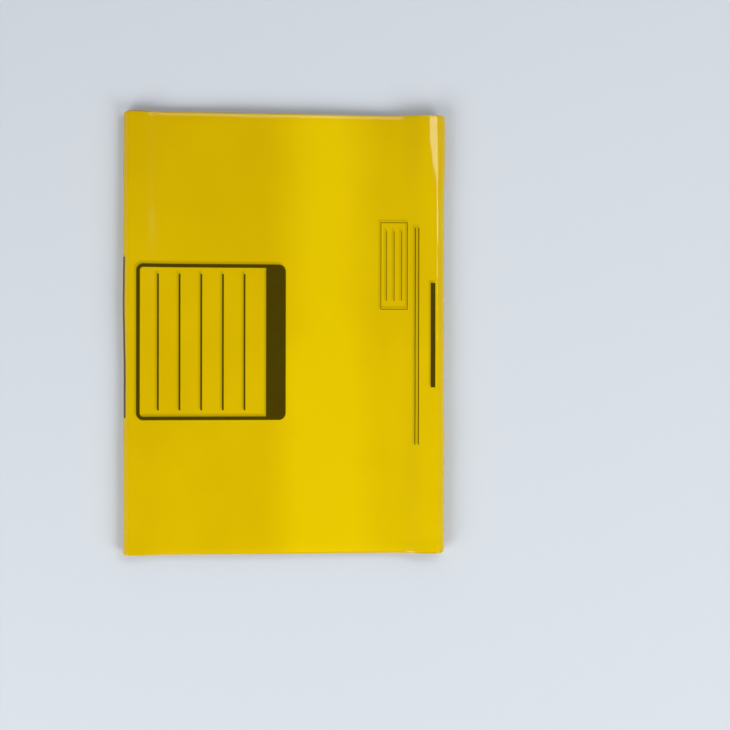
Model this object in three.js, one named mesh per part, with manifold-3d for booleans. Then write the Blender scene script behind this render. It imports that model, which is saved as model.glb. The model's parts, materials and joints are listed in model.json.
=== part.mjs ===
// A pack of yellow waste bags for a hospital ward, lying flat with its wide face up.
// Each bag is a tube of plastic film, pressed flat, welded across its bottom and open at its
// mouth. Ten of them lie on each other and are folded together in three, across their length:
// a wide middle panel on top, and two flaps turned in under it. The film is springy, so both
// folds stay open as soft loops, higher than the middle of the pack.
//
// Millimetres, +Z up. The origin is on the floor under the middle of the pack. X runs along
// the bags' length, which is the way they are folded, and Y along their width.

import * as THREE from 'three';
import { mergeVertices } from 'three/addons/utils/BufferGeometryUtils.js';
import Module from 'manifold-3d';

// One bag, pressed flat: its width is the tube's, and its length runs from mouth to bottom.
const bagWidth = 310;
const bagLength = 660;
const filmGauge = 0.05;
const airInsideBag = 0.05;
const bottomWeld = 8;

// The stack: how many bags it holds, and the air between one bag and the next.
const bagCount = 10;
const airBetweenBags = 0.05;

// The fold in three, and what the folds add to the width of a panel.
const foldAllowance = 7;
const underFlapGap = 0.3;
const overFlapGap = 0.6;

// The loops: the radius left open inside each, and how far it lifts the top panel beside it.
const rightLoopHollow = 4.6;
const leftLoopHollow = 2.7;
const leftLoopLift = 1;
const rightSwellRun = 34;
const leftSwellRun = 30;

// The bags' ends never line up quite: the furthest that one slips along Y.
const endSlip = 1;

// How finely a loop and a swelling are cut into straight steps.
const loopSteps = 14;
const swellSteps = 8;

// How far the cut that opens a bag runs out past its mouth.
const cutOvershoot = 2;

// Sizes that follow.
const panelCount = 3;
const bagThickness = 2 * filmGauge + airInsideBag;
const bagPitch = bagThickness + airBetweenBags;
const stackThickness = bagCount * bagPitch - airBetweenBags;
const packWidth = bagLength / panelCount + foldAllowance;
const tuckedFlapLevel = stackThickness + underFlapGap;
const topPanelLevel = tuckedFlapLevel + stackThickness + overFlapGap + stackThickness;

const filmYellow = new THREE.MeshStandardMaterial({
  color: new THREE.Color(0.86, 0.7, 0.02),
  roughness: 0.22,
  metalness: 0,
});

// The outer face of the outermost bag, from the middle of the top panel out to one side,
// round that side's loop and back under the pack. x is measured outward, to either side.
function guideToOneSide({ hollow, loopBottom, swellRun, flapLevel, flapStart }) {
  const radius = hollow + stackThickness;
  const loopCentre = packWidth / 2 - radius;
  const crest = loopBottom + 2 * radius;
  const swellStart = loopCentre - swellRun;
  const steps = [new THREE.Vector2(0, topPanelLevel)];

  const swell = new THREE.CubicBezierCurve(
    new THREE.Vector2(swellStart, topPanelLevel),
    new THREE.Vector2(swellStart + swellRun / 2, topPanelLevel),
    new THREE.Vector2(loopCentre - swellRun / 2, crest),
    new THREE.Vector2(loopCentre, crest),
  );
  steps.push(...swell.getPoints(swellSteps));

  const loop = new THREE.EllipseCurve(
    loopCentre, loopBottom + radius, radius, radius, Math.PI / 2, -Math.PI / 2, true,
  );
  steps.push(...loop.getPoints(loopSteps).slice(1));

  if (flapLevel > loopBottom) {
    const middle = (loopCentre + flapStart) / 2;
    const rise = new THREE.CubicBezierCurve(
      new THREE.Vector2(loopCentre, loopBottom),
      new THREE.Vector2(middle, loopBottom),
      new THREE.Vector2(middle, flapLevel),
      new THREE.Vector2(flapStart, flapLevel),
    );
    steps.push(...rise.getPoints(swellSteps).slice(1));
  }
  steps.push(new THREE.Vector2(-packWidth / 2, flapLevel));
  return steps;
}

// The same line moved inward by depth, each straight step staying parallel to itself.
function movedInward(steps, depth) {
  const inwardNormals = steps.slice(1).map((step, i) => {
    const along = step.clone().sub(steps[i]).normalize();
    return new THREE.Vector2(along.y, -along.x);
  });
  return steps.map((step, i) => {
    const before = inwardNormals[Math.max(i - 1, 0)];
    const after = inwardNormals[Math.min(i, inwardNormals.length - 1)];
    const mitre = before.clone().add(after).divideScalar(1 + before.dot(after));
    return step.clone().addScaledVector(mitre, depth);
  });
}

// Where a line has run for a given length: the step it is on, and the share of that step.
function placeAtLength(steps, length) {
  let left = length;
  for (let i = 0; i + 1 < steps.length; i += 1) {
    const step = steps[i].distanceTo(steps[i + 1]);
    if (left <= step) return { index: i, share: left / step };
    left -= step;
  }
  return { index: steps.length - 2, share: 1 };
}

// The line up to that place.
function cutAt(steps, { index, share }) {
  const end = steps[index].clone().lerp(steps[index + 1], share);
  return [...steps.slice(0, index + 1), end];
}

const arcOfRightLoop = (depth) => Math.PI * (rightLoopHollow + stackThickness - depth);

// The flap on the floor comes from the right loop. The tucked flap comes from the left loop,
// and reaches its own level just before the furthest edge of the flap below it.
const innermostDepth = stackThickness - bagThickness;
const rightLoopCentre = packWidth / 2 - rightLoopHollow - stackThickness;
const floorFlapReach =
  bagLength / 2 - arcOfRightLoop(innermostDepth) - 2 * rightLoopCentre;

const rightGuide = guideToOneSide({
  hollow: rightLoopHollow,
  loopBottom: 0,
  swellRun: rightSwellRun,
  flapLevel: 0,
});
const leftGuide = guideToOneSide({
  hollow: leftLoopHollow,
  loopBottom: leftLoopLift,
  swellRun: leftSwellRun,
  flapLevel: tuckedFlapLevel,
  flapStart: floorFlapReach,
});

// A layer of one bag, from one depth in its thickness to another, on both sides of the pack's
// middle. Each side's length is measured along the middle of the bag's thickness, so every
// bag is equally long, and the more deeply it is nested, the further its free edges reach.
function layer({ bag, from, to, rightLength, leftLength, width }) {
  const half = (guide, length) => {
    const end = placeAtLength(movedInward(guide, bag + bagThickness / 2), length);
    return {
      outer: cutAt(movedInward(guide, bag + from), end),
      inner: cutAt(movedInward(guide, bag + to), end),
    };
  };
  const mirrored = (steps) => steps.map((p) => new THREE.Vector2(-p.x, p.y));
  const right = half(rightGuide, rightLength);
  const left = half(leftGuide, leftLength);
  const outline = new THREE.Shape([
    ...right.outer,
    ...right.inner.slice(1).reverse(),
    ...mirrored(left.inner),
    ...mirrored(left.outer).slice(1).reverse(),
  ]);
  const geometry = new THREE.ExtrudeGeometry(outline, { depth: width, bevelEnabled: false });
  geometry.rotateX(Math.PI / 2);
  geometry.translate(0, width / 2, 0);
  return geometry;
}

const wasm = await Module();
wasm.setup();

function toSolid(geometry) {
  geometry.deleteAttribute('normal');
  geometry.deleteAttribute('uv');
  const merged = mergeVertices(geometry);
  return new wasm.Manifold(new wasm.Mesh({
    numProp: 3,
    vertProperties: merged.attributes.position.array,
    triVerts: new Uint32Array(merged.index.array),
  }));
}

function toGeometry(solid) {
  const { vertProperties, triVerts } = solid.getMesh();
  const geometry = new THREE.BufferGeometry();
  geometry.setAttribute('position', new THREE.BufferAttribute(vertProperties, 3));
  geometry.setIndex(new THREE.BufferAttribute(triVerts, 1));
  geometry.computeVertexNormals();
  return geometry;
}

// One bag: the flat tube, less the thin pocket of air between its two walls. The pocket stops
// at the weld, near the edge of the flap on the floor, and at the tube's side creases. It is
// open at the mouth, which is the edge of the tucked flap.
function foldedBag(bag) {
  const half = bagLength / 2;
  const tube = layer({
    bag,
    from: 0,
    to: bagThickness,
    rightLength: half,
    leftLength: half,
    width: bagWidth,
  });
  const pocket = layer({
    bag,
    from: filmGauge,
    to: filmGauge + airInsideBag,
    rightLength: half - bottomWeld,
    leftLength: half + cutOvershoot,
    width: bagWidth - 2 * filmGauge,
  });
  return toGeometry(toSolid(tube).subtract(toSolid(pocket)));
}

// The slip of each bag's ends, from none on the outermost to endSlip either way further in.
function slipOfBag(number) {
  const wanders = [0, 0.45, -0.6, 0.85, -1, 0.3, 1, -0.35, 0.6, -0.8];
  return endSlip * wanders[number % wanders.length];
}

const pack = new THREE.Group();
for (let number = 0; number < bagCount; number += 1) {
  const bag = new THREE.Mesh(foldedBag(number * bagPitch), filmYellow);
  bag.name = `bag_${String(number + 1).padStart(2, '0')}`;
  bag.position.y = slipOfBag(number);
  pack.add(bag);
}

export default pack;
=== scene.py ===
import json
import math

import bpy
import numpy as np
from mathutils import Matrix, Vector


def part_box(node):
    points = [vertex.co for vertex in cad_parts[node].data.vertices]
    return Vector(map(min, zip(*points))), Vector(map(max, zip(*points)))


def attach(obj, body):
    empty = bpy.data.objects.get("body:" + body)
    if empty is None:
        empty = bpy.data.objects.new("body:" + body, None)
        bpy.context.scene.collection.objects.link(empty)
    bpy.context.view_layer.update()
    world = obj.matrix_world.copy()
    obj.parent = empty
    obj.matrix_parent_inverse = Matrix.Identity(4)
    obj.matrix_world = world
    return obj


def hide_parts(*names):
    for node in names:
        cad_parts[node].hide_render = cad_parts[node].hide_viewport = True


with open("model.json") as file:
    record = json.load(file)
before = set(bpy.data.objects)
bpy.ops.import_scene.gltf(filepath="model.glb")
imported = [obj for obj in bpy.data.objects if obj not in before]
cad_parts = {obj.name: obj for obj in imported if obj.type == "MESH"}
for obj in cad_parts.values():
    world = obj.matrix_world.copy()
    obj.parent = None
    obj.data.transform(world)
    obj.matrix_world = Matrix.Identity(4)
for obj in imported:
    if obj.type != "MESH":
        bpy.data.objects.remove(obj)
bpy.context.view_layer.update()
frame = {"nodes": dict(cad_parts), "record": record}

scene = bpy.context.scene

# The outermost bag
# A tube of blown yellow polypropylene, pressed flat, creased at both sides, welded across its
# bottom and printed on one face. It is folded in three round the other nine bags: a wide panel on
# top, a soft loop at each side that the springy film keeps open, and two flaps turned in below.

outer_low, outer_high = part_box("bag_01")
half_width = outer_high.x
bag_width = outer_high.y - outer_low.y
bag_length = 0.660
bag_thickness = 0.00013
panel_level = next(
    mount["pos_m"][2] for mount in frame["record"]["mounts"] if mount["name"] == "top_panel"
)
tucked_level = 0.00225

right_radius = outer_high.z / 2
right_swell = 0.034
left_radius = 0.00465
left_lift = 0.001
left_swell = 0.030
floor_flap_reach = 0.101
fan_hold = 3.0

panel_steps = 20
swell_steps = 18
loop_steps = 30
rise_steps = 10
flap_steps = 14


def smooth(share):
    share = np.clip(share, 0, 1)
    return share * share * (3 - 2 * share)


def bend(start, start_handle, end_handle, end, steps):
    """Points of a cubic curve, and the direction in which it runs at each."""
    t = np.linspace(0, 1, steps + 1)[:, None]
    a, b, c, d = (np.array(point) for point in (start, start_handle, end_handle, end))
    points = (1 - t) ** 3 * a + 3 * (1 - t) ** 2 * t * b + 3 * (1 - t) * t**2 * c + t**3 * d
    along = (1 - t) ** 2 * (b - a) + 2 * (1 - t) * t * (c - b) + t**2 * (d - c)
    return points, along / np.linalg.norm(along, axis=1, keepdims=True)


def guide(radius, lift, swell, flap_level, flap_start):
    """The outermost face of one side, from the middle of the panel to the start of its flap.

    x is measured outward. Each station has its place, the direction into the stack, how much
    it belongs to the loop, and how far the bags may fan out there. They stay fanned out for
    longer round the loop, the greater fan_hold is.
    """
    centre = half_width - radius
    crest = lift + 2 * radius
    swell_start = centre - swell
    panel_x = np.linspace(0, swell_start, panel_steps + 1)
    panel = np.stack([panel_x, np.full_like(panel_x, panel_level)], 1)
    panel_along = np.tile([1.0, 0.0], (len(panel), 1))
    rising, rising_along = bend(
        (swell_start, panel_level),
        (swell_start + swell / 2, panel_level),
        (centre - swell / 2, crest),
        (centre, crest),
        swell_steps,
    )
    turn = np.linspace(math.pi / 2, -math.pi / 2, loop_steps + 1)
    loop = np.stack([centre + radius * np.cos(turn), lift + radius + radius * np.sin(turn)], 1)
    loop_along = np.stack([np.sin(turn), -np.cos(turn)], 1)
    swell_share = smooth(np.linspace(0, 1, swell_steps + 1))
    loop_share = (1 + np.sin(turn)) / 2
    parts = [
        (panel, panel_along, np.zeros(len(panel)), np.zeros(len(panel))),
        (rising[1:], rising_along[1:], swell_share[1:], swell_share[1:]),
        (loop[1:], loop_along[1:], loop_share[1:], smooth(loop_share[1:] * fan_hold)),
    ]
    if flap_level > lift:
        halfway = (centre + flap_start) / 2
        settling, settling_along = bend(
            (centre, lift), (halfway, lift), (halfway, flap_level), (flap_start, flap_level), rise_steps
        )
        nothing = np.zeros(rise_steps)
        parts.append((settling[1:], settling_along[1:], nothing, nothing))
    points, along, loop_weight, fan_weight = (np.concatenate(part) for part in zip(*parts))
    inward = np.stack([along[:, 1], -along[:, 0]], 1)
    return points, inward, loop_weight, fan_weight


sides = {
    1: guide(right_radius, lift=0, swell=right_swell, flap_level=0, flap_start=0),
    -1: guide(left_radius, left_lift, left_swell, tucked_level, flap_start=floor_flap_reach),
}

# The film never lies quite flat: broad waves run mostly along the folds, the loops swell and sink
# along their length, and the air between the bags is wider inside the loops and at their ends.
wave_seed = 31
weakest_wave = 0.6
chance = np.random.default_rng(wave_seed)


def wave_field(count, shortest, longest, lean, height):
    """A sum of waves over the panel. Their crests lie along the folds, give or take the lean."""
    lengths = np.geomspace(longest, shortest, count)
    angles = chance.normal(0, lean, count)
    phases = chance.uniform(0, 2 * math.pi, count)
    heights = lengths / longest * chance.uniform(weakest_wave, 1.0, count)
    heights *= height / np.sqrt((heights**2).sum())

    def at(x, y):
        total = 0
        for length, angle, phase, size in zip(lengths, angles, phases, heights):
            run = x * math.cos(angle) + y * math.sin(angle)
            total = total + size * np.sin(2 * math.pi * run / length + phase)
        return total

    return at


panel_waves = wave_field(count=9, shortest=0.045, longest=0.210, lean=0.45, height=0.00042)
loop_swelling = {
    1: wave_field(count=4, shortest=0.070, longest=0.260, lean=0.0, height=0.00080),
    -1: wave_field(count=4, shortest=0.060, longest=0.230, lean=0.0, height=0.00050),
}
loop_puckers = wave_field(count=6, shortest=0.018, longest=0.060, lean=0.25, height=0.00014)
air_waves = [
    wave_field(count=3, shortest=0.055, longest=0.190, lean=0.8, height=1.0)
    for _ in range(len(frame["nodes"]))
]
widest_air = 0.00034
steady_air = 0.35
wavering_air = 0.65
end_flare = 0.8
flare_reach = 0.045

# The panel is a little crowned along its middle and drops at both ends, and the right loop is
# pressed flatter toward its upper end.
panel_rest = 0.00045
crown_height = 0.0011
crown_place = -0.012
crown_reach = 0.058
crown_fade = 0.25
end_drop = 0.00045
end_reach = 0.0055
pressed_depth = 0.0018
pressed_start = 0.070
pressed_run = 0.086
pressed_edge = 0.0985
pressed_edge_run = 0.0125


def lift_of_film(side, x, y, loop_weight):
    """How far the whole stack stands out from its guide."""
    crown = crown_height * np.exp(-(((side * x - crown_place) / crown_reach) ** 2))
    crown = crown * (1 - crown_fade * (y / bag_width * 2) ** 2)
    from_end = (bag_width / 2 - np.abs(y)) / end_reach
    drop = end_drop * np.clip(1 - from_end, 0, 1) ** 2
    panel = panel_rest + crown + panel_waves(side * x, y) - drop
    loop = loop_swelling[side](y, 0 * y) + loop_puckers(y, x)
    upper_half = np.clip(2 * loop_weight - 1, 0, 1)
    pressed = smooth((y - pressed_start) / pressed_run) * smooth((x - pressed_edge) / pressed_edge_run)
    pressed = pressed_depth * pressed * upper_half * (side > 0)
    return panel * (1 - loop_weight) * (loop_weight < 1) + loop * loop_weight - pressed


def fanning(bag, x, y, fan_weight):
    """The extra air that has gathered between the outermost bag and this one."""
    flare = 1 + end_flare * smooth((np.abs(y) - bag_width / 2) / flare_reach + 1)
    total = 0
    for waves in air_waves[:bag]:
        total = total + widest_air * (steady_air + wavering_air * waves(x, y)) ** 2
    return total * flare * fan_weight


# Each bag is one closed skin round both walls, which meet at the creases.
crease_rounding = 0.00025
skew_of_bags = [0, 0.4, -0.3, 0.2, -0.5, 0.5, -0.2, 0.3, -0.4, 0.1]
skew_length = 0.001
reach_of_bags = [0, 0.6, -0.4, 0.9, -0.2, 0.5, -0.8, 0.3, 0.7, -0.5]
reach_length = 0.001
places_near_crease = np.array([0, 0.04, 0.12, 0.25, 0.7, 1.4, 2.2, 3.2, 4.4, 5.8]) / 1000
sharp_edge_angle = 40


def places_across(step):
    """Places across the bag, from crease to crease, closer together near the creases."""
    middle = bag_width / 2 - places_near_crease[-1]
    inner = np.linspace(-middle, middle, round(2 * middle / step) + 1)
    outer = bag_width / 2 - places_near_crease[:-1]
    return np.concatenate([-outer, inner, outer[::-1]])


def half_of_bag(side, bag, depth, y):
    """The outer face of one side of a bag, its inward directions, and the length run to each place."""
    points, inward, loop_weight, fan_weight = sides[side]
    middle_line = points + inward * (depth + bag_thickness / 2)
    steps = np.linalg.norm(np.diff(middle_line, axis=0), axis=1)
    run = np.concatenate([[0], np.cumsum(steps)])
    flap = bag_length / 2 - run[-1] + side * reach_length * reach_of_bags[bag]
    share = np.linspace(0, 1, flap_steps + 1)[1:]
    flap_points = points[-1] + np.stack([-share * flap, 0 * share], 1)
    points = np.concatenate([points, flap_points])
    inward = np.concatenate([inward, np.tile([0.0, 1.0], (flap_steps, 1))])
    run = np.concatenate([run, run[-1] + share * flap])
    nothing = np.zeros(flap_steps)
    loop_weight = np.concatenate([loop_weight, nothing])[:, None]
    fan_weight = np.concatenate([fan_weight, nothing])[:, None]
    on_panel = (inward[:, 1] < 0)[:, None]

    x = points[:, :1]
    out = lift_of_film(side, x, y[None, :], loop_weight) * np.where(on_panel, 1, loop_weight)
    depths = depth + fanning(bag, side * x, y[None, :], fan_weight) - out
    return points, inward, depths, run


def skin_of_bag(number, step):
    """Both faces of one bag as grids of points, from the left flap's edge to the right flap's."""
    low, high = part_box(f"bag_{number:02d}")
    bag = number - 1
    depth = half_width - high.x
    slip = (low.y + high.y) / 2
    y = places_across(step)
    outer, inner, runs = [], [], []
    for side in (-1, 1):
        points, inward, depths, run = half_of_bag(side, bag, depth, y)
        in_from_crease = np.clip(1 - (bag_width / 2 - np.abs(y)) / crease_rounding, 0, 1)
        half_thickness = bag_thickness / 2 * np.sqrt(1 - in_from_crease**2)
        for face, sign in ((outer, -1), (inner, 1)):
            across = depths + bag_thickness / 2 + sign * half_thickness[None, :]
            place = points[:, None, :] + inward[:, None, :] * across[:, :, None]
            x = side * place[:, :, 0]
            z = np.maximum(place[:, :, 1], 0)
            slipped = y[None, :] + slip + skew_length * skew_of_bags[bag] * x / half_width
            face.append(np.stack([x, slipped, z], 2))
        runs.append(side * run)
    join = [np.concatenate([halves[0][:0:-1], halves[1]]) for halves in (outer, inner, runs)]
    return (*join, y)


def make_bag(number, step, materials):
    """The mesh of one bag. Its first material is on the outer face, and its last on the inner."""
    outer, inner, run, y = skin_of_bag(number, step)
    rows, columns = outer.shape[:2]
    index = np.arange(rows * columns).reshape(rows, columns)
    under = index + rows * columns
    under[:, 0] = index[:, 0]
    under[:, -1] = index[:, -1]
    quads = [
        np.stack([index[:-1, :-1], index[1:, :-1], index[1:, 1:], index[:-1, 1:]], 2).reshape(-1, 4),
        np.stack([under[:-1, :-1], under[:-1, 1:], under[1:, 1:], under[1:, :-1]], 2).reshape(-1, 4),
        np.stack([index[0, :-1], index[0, 1:], under[0, 1:], under[0, :-1]], 1),
        np.stack([index[-1, :-1], under[-1, :-1], under[-1, 1:], index[-1, 1:]], 1),
    ]
    points = np.concatenate([outer.reshape(-1, 3), inner.reshape(-1, 3)])
    used = np.unique(np.concatenate([index.ravel(), under.ravel()]))
    renumber = np.full(len(points), -1)
    renumber[used] = np.arange(len(used))
    faces = [list(dict.fromkeys(corners)) for corners in renumber[np.concatenate(quads)].tolist()]

    mesh = bpy.data.meshes.new(f"film_bag_{number:02d}")
    mesh.from_pydata(points[used].tolist(), [], faces)
    place = np.stack(np.broadcast_arrays(run[:, None], y[None, :]), 2).reshape(-1, 2)
    place = np.concatenate([place, place])[used]
    corner_points = np.zeros(len(mesh.loops), np.int32)
    mesh.loops.foreach_get("vertex_index", corner_points)
    layer = mesh.uv_layers.new(name="place_on_film")
    layer.uv.foreach_set("vector", place[corner_points].astype(np.float32).ravel())
    for material in materials:
        mesh.materials.append(material)
    which = np.full(len(mesh.polygons), len(materials) - 1, np.int32)
    which[: len(quads[0])] = 0
    mesh.polygons.foreach_set("material_index", which)
    mesh.shade_smooth()
    mesh.set_sharp_from_angle(angle=math.radians(sharp_edge_angle))
    mesh.validate()
    piece = bpy.data.objects.new(mesh.name, mesh)
    scene.collection.objects.link(piece)
    return piece


class Shade:
    """An output of a shader node. Arithmetic on it adds the Math nodes."""

    def __init__(self, tree, socket=None):
        self.tree = tree
        self.socket = socket

    def node(self, kind, settings=None, sockets=None, output=0):
        made = self.tree.nodes.new(kind)
        for name, value in (settings or {}).items():
            setattr(made, name, value)
        for name, value in (sockets or {}).items():
            if isinstance(value, Shade):
                self.tree.links.new(value.socket, made.inputs[name])
            else:
                made.inputs[name].default_value = value
        return Shade(self.tree, made.outputs[output] if len(made.outputs) else None)

    def maths(self, operation, first, second=0.0, clamp=False):
        settings = {"operation": operation, "use_clamp": clamp}
        return self.node("ShaderNodeMath", settings, {0: first, 1: second})

    def __add__(self, other):
        return self.maths("ADD", self, other)

    def __radd__(self, other):
        return self.maths("ADD", other, self)

    def __sub__(self, other):
        return self.maths("SUBTRACT", self, other)

    def __rsub__(self, other):
        return self.maths("SUBTRACT", other, self)

    def __mul__(self, other):
        return self.maths("MULTIPLY", self, other)

    def __rmul__(self, other):
        return self.maths("MULTIPLY", other, self)

    def __abs__(self):
        return self.maths("ABSOLUTE", self)

    def least(self, other):
        return self.maths("MINIMUM", self, other)

    def most(self, other):
        return self.maths("MAXIMUM", self, other)

    def clamped(self):
        return self.maths("ADD", self, 0.0, clamp=True)

    def blend(self, first, second):
        """From the first colour to the second, as this value goes from 0 to 1."""
        return self.node("ShaderNodeMix", {"data_type": "RGBA"}, {0: self, 6: first, 7: second}, 2)

    def noise(self, scale, detail, stretch=(1, 1, 1)):
        moved = self.node("ShaderNodeVectorMath", {"operation": "MULTIPLY"}, {0: self, 1: stretch})
        sockets = {"Vector": moved, "Scale": scale, "Detail": detail}
        return self.node("ShaderNodeTexNoise", {"noise_dimensions": "3D"}, sockets)


def inside(distance, softness):
    """1 where a signed distance is below zero, 0 where it is above, soft at the edge."""
    return (0.5 - distance * (1 / softness)).clamped()


# The print, dark on the film's far side: a large write-on form with a solid heading, a small ruled
# frame, two long rules and two bars.
form_middle = (-0.0523, -0.0060)
form_size = (0.1050, 0.1100)
form_corner = 0.0050
form_line = 0.0026
form_heading = 0.0140
form_rules = 5
form_rule_width = 0.0013
form_rule_length = 0.0960

frame_middle = (0.0775, 0.0487)
frame_size = (0.0191, 0.0617)
frame_line = 0.0005
ruled_lines = (-0.0055, 0.0, 0.0055)
ruled_length = 0.050
long_rules = (0.0928, 0.0953)
long_rule_middle = -0.0014
long_rule_length = 0.1547
rule_width = 0.0007
heading_bar = ((0.1056, -0.0006), (0.0034, 0.0745))
side_bar = ((-0.1143, -0.0029), (0.0032, 0.1130))


def bar_distance(u, v, middle, size):
    """Signed distance to an upright bar with that middle and size."""
    return (abs(u - middle[0]) - size[0] / 2).most(abs(v - middle[1]) - size[1] / 2)


def form_distance(u, v):
    """Signed distance to the form: a frame with round corners, a heading, and lines to write on."""
    x = abs(u - form_middle[0]) - (form_size[0] / 2 - form_corner)
    y = abs(v - form_middle[1]) - (form_size[1] / 2 - form_corner)
    past_x = x.most(0.0)
    past_y = y.most(0.0)
    rounded = u.maths("SQRT", past_x * past_x + past_y * past_y)
    edge = rounded + x.most(y).least(0.0) - form_corner
    heading_start = form_middle[0] + form_size[0] / 2 - form_heading
    shape = edge.most(heading_start - u).least(abs(edge + form_line / 2) - form_line / 2)
    pitch = (form_size[0] - form_heading) / (form_rules + 1)
    for number in range(1, form_rules + 1):
        middle = (heading_start - number * pitch, form_middle[1])
        shape = shape.least(bar_distance(u, v, middle, (form_rule_width, form_rule_length)))
    return shape


def print_distance(u, v):
    edge = bar_distance(u, v, frame_middle, frame_size)
    shape = form_distance(u, v).least(abs(edge) - frame_line / 2)
    for offset in ruled_lines:
        middle = (frame_middle[0] + offset, frame_middle[1])
        shape = shape.least(bar_distance(u, v, middle, (frame_line, ruled_length)))
    for place in long_rules:
        bar = ((place, long_rule_middle), (rule_width, long_rule_length))
        shape = shape.least(bar_distance(u, v, *bar))
    for bar in (heading_bar, side_bar):
        shape = shape.least(bar_distance(u, v, *bar))
    return shape


# The film: its colours, its gloss, and how evenly it was drawn and lies on the film below.
film_deep = (0.63, 0.395, 0.0003, 1)
film_bright = (0.88, 0.630, 0.0004, 1)
film_glow = (0.84, 0.560, 0.0004, 1)
light_through = 0.16
film_roughness = 0.10
roughness_spread = 0.06
film_ior = 1.49

cloud_scale = 9
contact_scale = 34
contact_stretch = (1, 0.7, 1)
streak_stretch = (14, 820, 1)
ripple_stretch = (9, 46, 1)
middle_tone = 0.56
cloud_tone = 0.5
contact_tone = 0.22
streak_tone = 0.06
ripple_height = 0.00022
contact_height = 0.00008
streak_height = 0.000008

# The weld: a ribbed band across the film, a little darker and less see-through.
weld_start = 0.3215
weld_end = 0.3275
weld_edge = 0.0004
weld_darkening = 0.35
weld_density = 0.05
weld_pitch = 0.0011
weld_rib = 0.00003
weld_depth = 0.00004

# The ink, and the soft shadow that it casts through the film.
ink_olive = (0.040, 0.034, 0.0009, 1)
ink_brown = (0.062, 0.031, 0.0009, 1)
ink_cover = 0.94
mottle_scale = 120
mottle_floor = 0.35
mottle_gain = 2.2
shadow_tone = (0.32, 0.235, 0.0004, 1)
shadow_shift = (-0.0010, 0.0015)
shadow_strength = 0.62
print_edge = 0.00035
shadow_edge = 0.0022

# Painted light on the panel: a brighter band along it, right of its middle, and a painted gradient,
# lighter to the right and darker towards its upper end.
painted_light_place = 0.028
painted_light_reach = 0.046
painted_light_strength = 0.50
painted_light_across = 1.0
painted_light_up = -0.8


def film_material(name, printed):
    """Clear yellow film, glossy on both faces, a little see-through, with fine drawing streaks."""
    material = bpy.data.materials.new(name)
    material.use_nodes = True
    tree = material.node_tree
    tree.nodes.clear()
    place = Shade(tree).node("ShaderNodeUVMap", {"uv_map": "place_on_film"})
    u = place.node("ShaderNodeSeparateXYZ", None, {0: place}, 0)
    v = place.node("ShaderNodeSeparateXYZ", None, {0: place}, 1)
    clouds = place.node("ShaderNodeTexCoord", None, None, 3).noise(cloud_scale, 2)
    contact = place.noise(contact_scale, 3, contact_stretch)
    streaks = place.noise(1, 2, streak_stretch)
    ripples = place.noise(1, 2, ripple_stretch)

    tone = middle_tone + (clouds - 0.5) * cloud_tone
    tone = tone + (contact - 0.5) * contact_tone + (streaks - 0.5) * streak_tone
    if printed:
        # Painted light: a brighter band and a gradient, lighter to the right and darker upward, are put
        # into the film's colour.
        painted_light_band = (1 - abs(u - painted_light_place) * (1 / painted_light_reach)).clamped()
        tone = tone + painted_light_band * painted_light_band * (3 - 2 * painted_light_band) * painted_light_strength
        tone = tone + u * painted_light_across + v * painted_light_up
    colour = tone.clamped().blend(film_deep, film_bright)
    weld_half = (weld_end - weld_start) / 2
    weld = inside(abs(u - (weld_start + weld_half)) - weld_half, weld_edge)
    colour = (weld * weld_darkening).blend(colour, film_deep)
    through = light_through - weld * weld_density
    if printed:
        ink = inside(print_distance(u, v), print_edge)
        # Painted shadow: a soft copy of the print, shifted up and to the left, darkens the film as the
        # print's shadow.
        painted_print_shadow = inside(print_distance(u - shadow_shift[0], v - shadow_shift[1]), shadow_edge)
        mottle = place.noise(mottle_scale, 3)
        colour = (painted_print_shadow * shadow_strength).blend(colour, shadow_tone)
        ink_colour = ((mottle - mottle_floor) * mottle_gain).clamped().blend(ink_olive, ink_brown)
        colour = (ink * (ink_cover + (1 - ink_cover) * mottle)).blend(colour, ink_colour)
        through = through * (1 - ink)

    ridges = place.maths("SINE", v * (2 * math.pi / weld_pitch))
    relief = ripples * ripple_height + contact * contact_height + streaks * streak_height
    relief = relief + weld * (ridges * weld_rib - weld_depth)
    bump = place.node("ShaderNodeBump", None, {"Strength": 1.0, "Distance": 1.0, "Height": relief})
    roughness = film_roughness + (contact - 0.5) * roughness_spread
    surface = {"Base Color": colour, "Roughness": roughness, "Normal": bump, "IOR": film_ior}
    film = place.node("ShaderNodeBsdfPrincipled", None, surface)
    glow = place.node("ShaderNodeBsdfTranslucent", None, {"Color": film_glow})
    mixed = place.node("ShaderNodeMixShader", None, {0: through, 1: film, 2: glow})
    place.node("ShaderNodeOutputMaterial", None, {"Surface": mixed})
    return material


plain_film = film_material("yellow_film", printed=False)
printed_film = film_material("printed_yellow_film", printed=True)

fine_step = 0.0034
printed_bag = make_bag(1, fine_step, [printed_film, plain_film])
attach(printed_bag, "root")
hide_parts("bag_01")

# The nine bags inside it
# Like tubes of the same film. Each lies on the bag before it and is folded with it, so it turns
# more tightly in the loops, and its ends have slipped a little.

coarse_step = 0.0060
for number in range(2, len(frame["nodes"]) + 1):
    bag = make_bag(number, coarse_step, [plain_film])
    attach(bag, "root")
    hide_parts(f"bag_{number:02d}")

# The floor
# A pale blue-grey studio table, painted matt. It runs out past the picture on every side, and
# the pack simply lies on it.

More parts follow.
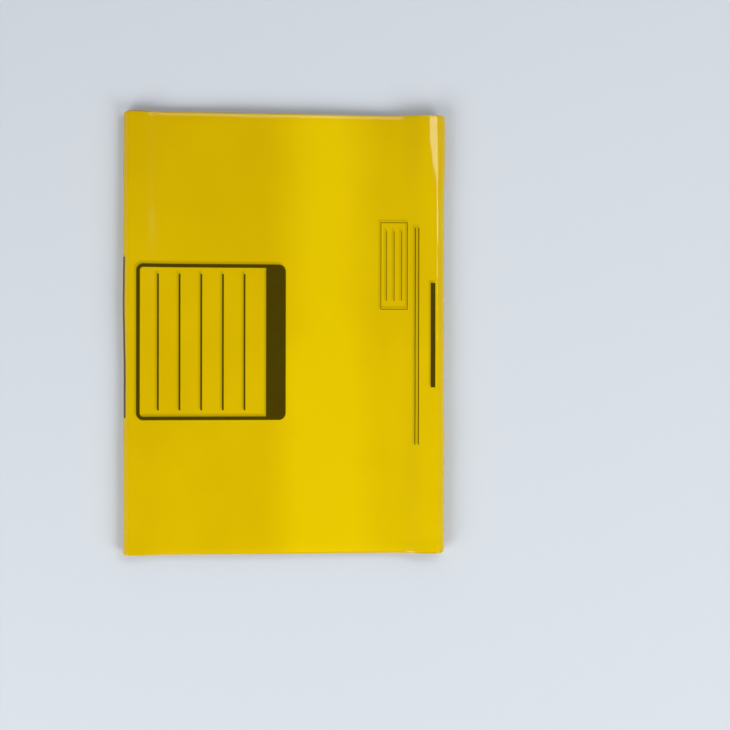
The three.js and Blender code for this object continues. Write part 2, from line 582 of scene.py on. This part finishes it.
floor_size = 8.0
floor_gap = 0.0002
floor_colour = (0.62, 0.655, 0.70, 1)
floor_roughness = 0.6
floor_gloss = 0.1
bpy.ops.mesh.primitive_plane_add(size=floor_size, location=(0, 0, -floor_gap))
floor = bpy.context.object
floor.name = "floor"
floor_material = bpy.data.materials.new("pale_table")
floor_material.use_nodes = True
table = floor_material.node_tree.nodes["Principled BSDF"]
table.inputs["Base Color"].default_value = floor_colour
table.inputs["Roughness"].default_value = floor_roughness
table.inputs["Specular IOR Level"].default_value = floor_gloss
floor.data.materials.append(floor_material)

# The light
# Four softboxes hang round the table, so that from above only the back one shows in the film's
# far edge, and only the key one in the right loop. The room is dim and darker overhead, and its
# bright windows, all round, show in the film from the side.

softboxes = [
    ("key_softbox", (0.75, 0.47, 1.30), (0.61, 0.54), 5.4),
    ("back_softbox", (0.0, 0.92, 1.40), (1.1, 0.36), 3.2),
    ("left_softbox", (-1.15, -1.00, 1.10), (1.1, 1.1), 22.8),
    ("right_softbox", (1.15, -1.00, 1.10), (1.1, 1.1), 17.2),
]
for name, place, size, watts in softboxes:
    light = bpy.data.lights.new(name, "AREA")
    light.shape = "RECTANGLE"
    light.size, light.size_y = size
    light.energy = watts
    lamp = bpy.data.objects.new(name, light)
    lamp.location = place
    lamp.rotation_euler = (-lamp.location).to_track_quat("-Z", "Y").to_euler()
    scene.collection.objects.link(lamp)

window_count = 5
window_height = 0.44
window_reach = 0.15
window_edge = 0.06
window_gap = 0.25
window_gap_edge = 0.5
window_light = (0.98, 1.00, 1.03, 1)
wall_light = (0.44, 0.46, 0.50, 1)
ceiling_light = (0.008, 0.008, 0.009, 1)
world = bpy.data.worlds.new("studio_room")
world.use_nodes = True
scene.world = world
world.node_tree.nodes.clear()
direction = Shade(world.node_tree).node("ShaderNodeTexCoord")
height = direction.node("ShaderNodeSeparateXYZ", None, {0: direction}, 2)
overhead = direction.maths("SQRT", height.clamped())
walls = overhead.blend(wall_light, ceiling_light)
east = direction.node("ShaderNodeSeparateXYZ", None, {0: direction}, 0)
north = direction.node("ShaderNodeSeparateXYZ", None, {0: direction}, 1)
turn = direction.maths("ARCTAN2", north, east)
gaps = direction.maths("COSINE", turn * window_count)
rows = inside(abs(height - window_height) - window_reach, window_edge)
windows = rows * inside(gaps - window_gap, window_gap_edge)
sky = windows.blend(walls, window_light)
room = direction.node("ShaderNodeBackground", None, {"Color": sky, "Strength": 1.0})
direction.node("ShaderNodeOutputWorld", None, {"Surface": room})

# The camera
# It looks down on the pack from just over a metre up, a little to the left of its middle, with
# the pack left of the middle of the picture.

camera = bpy.data.objects.new("camera", bpy.data.cameras.new("camera"))
camera.data.lens = 70
camera.data.sensor_width = 36
camera.data.clip_start = 0.01
camera.location = (-0.0498, -0.0183, 1.0134)
camera.rotation_euler = (math.radians(-0.22), math.radians(-6.04), math.radians(0.10))
scene.collection.objects.link(camera)
scene.camera = camera
scene.view_settings.view_transform = "Standard"
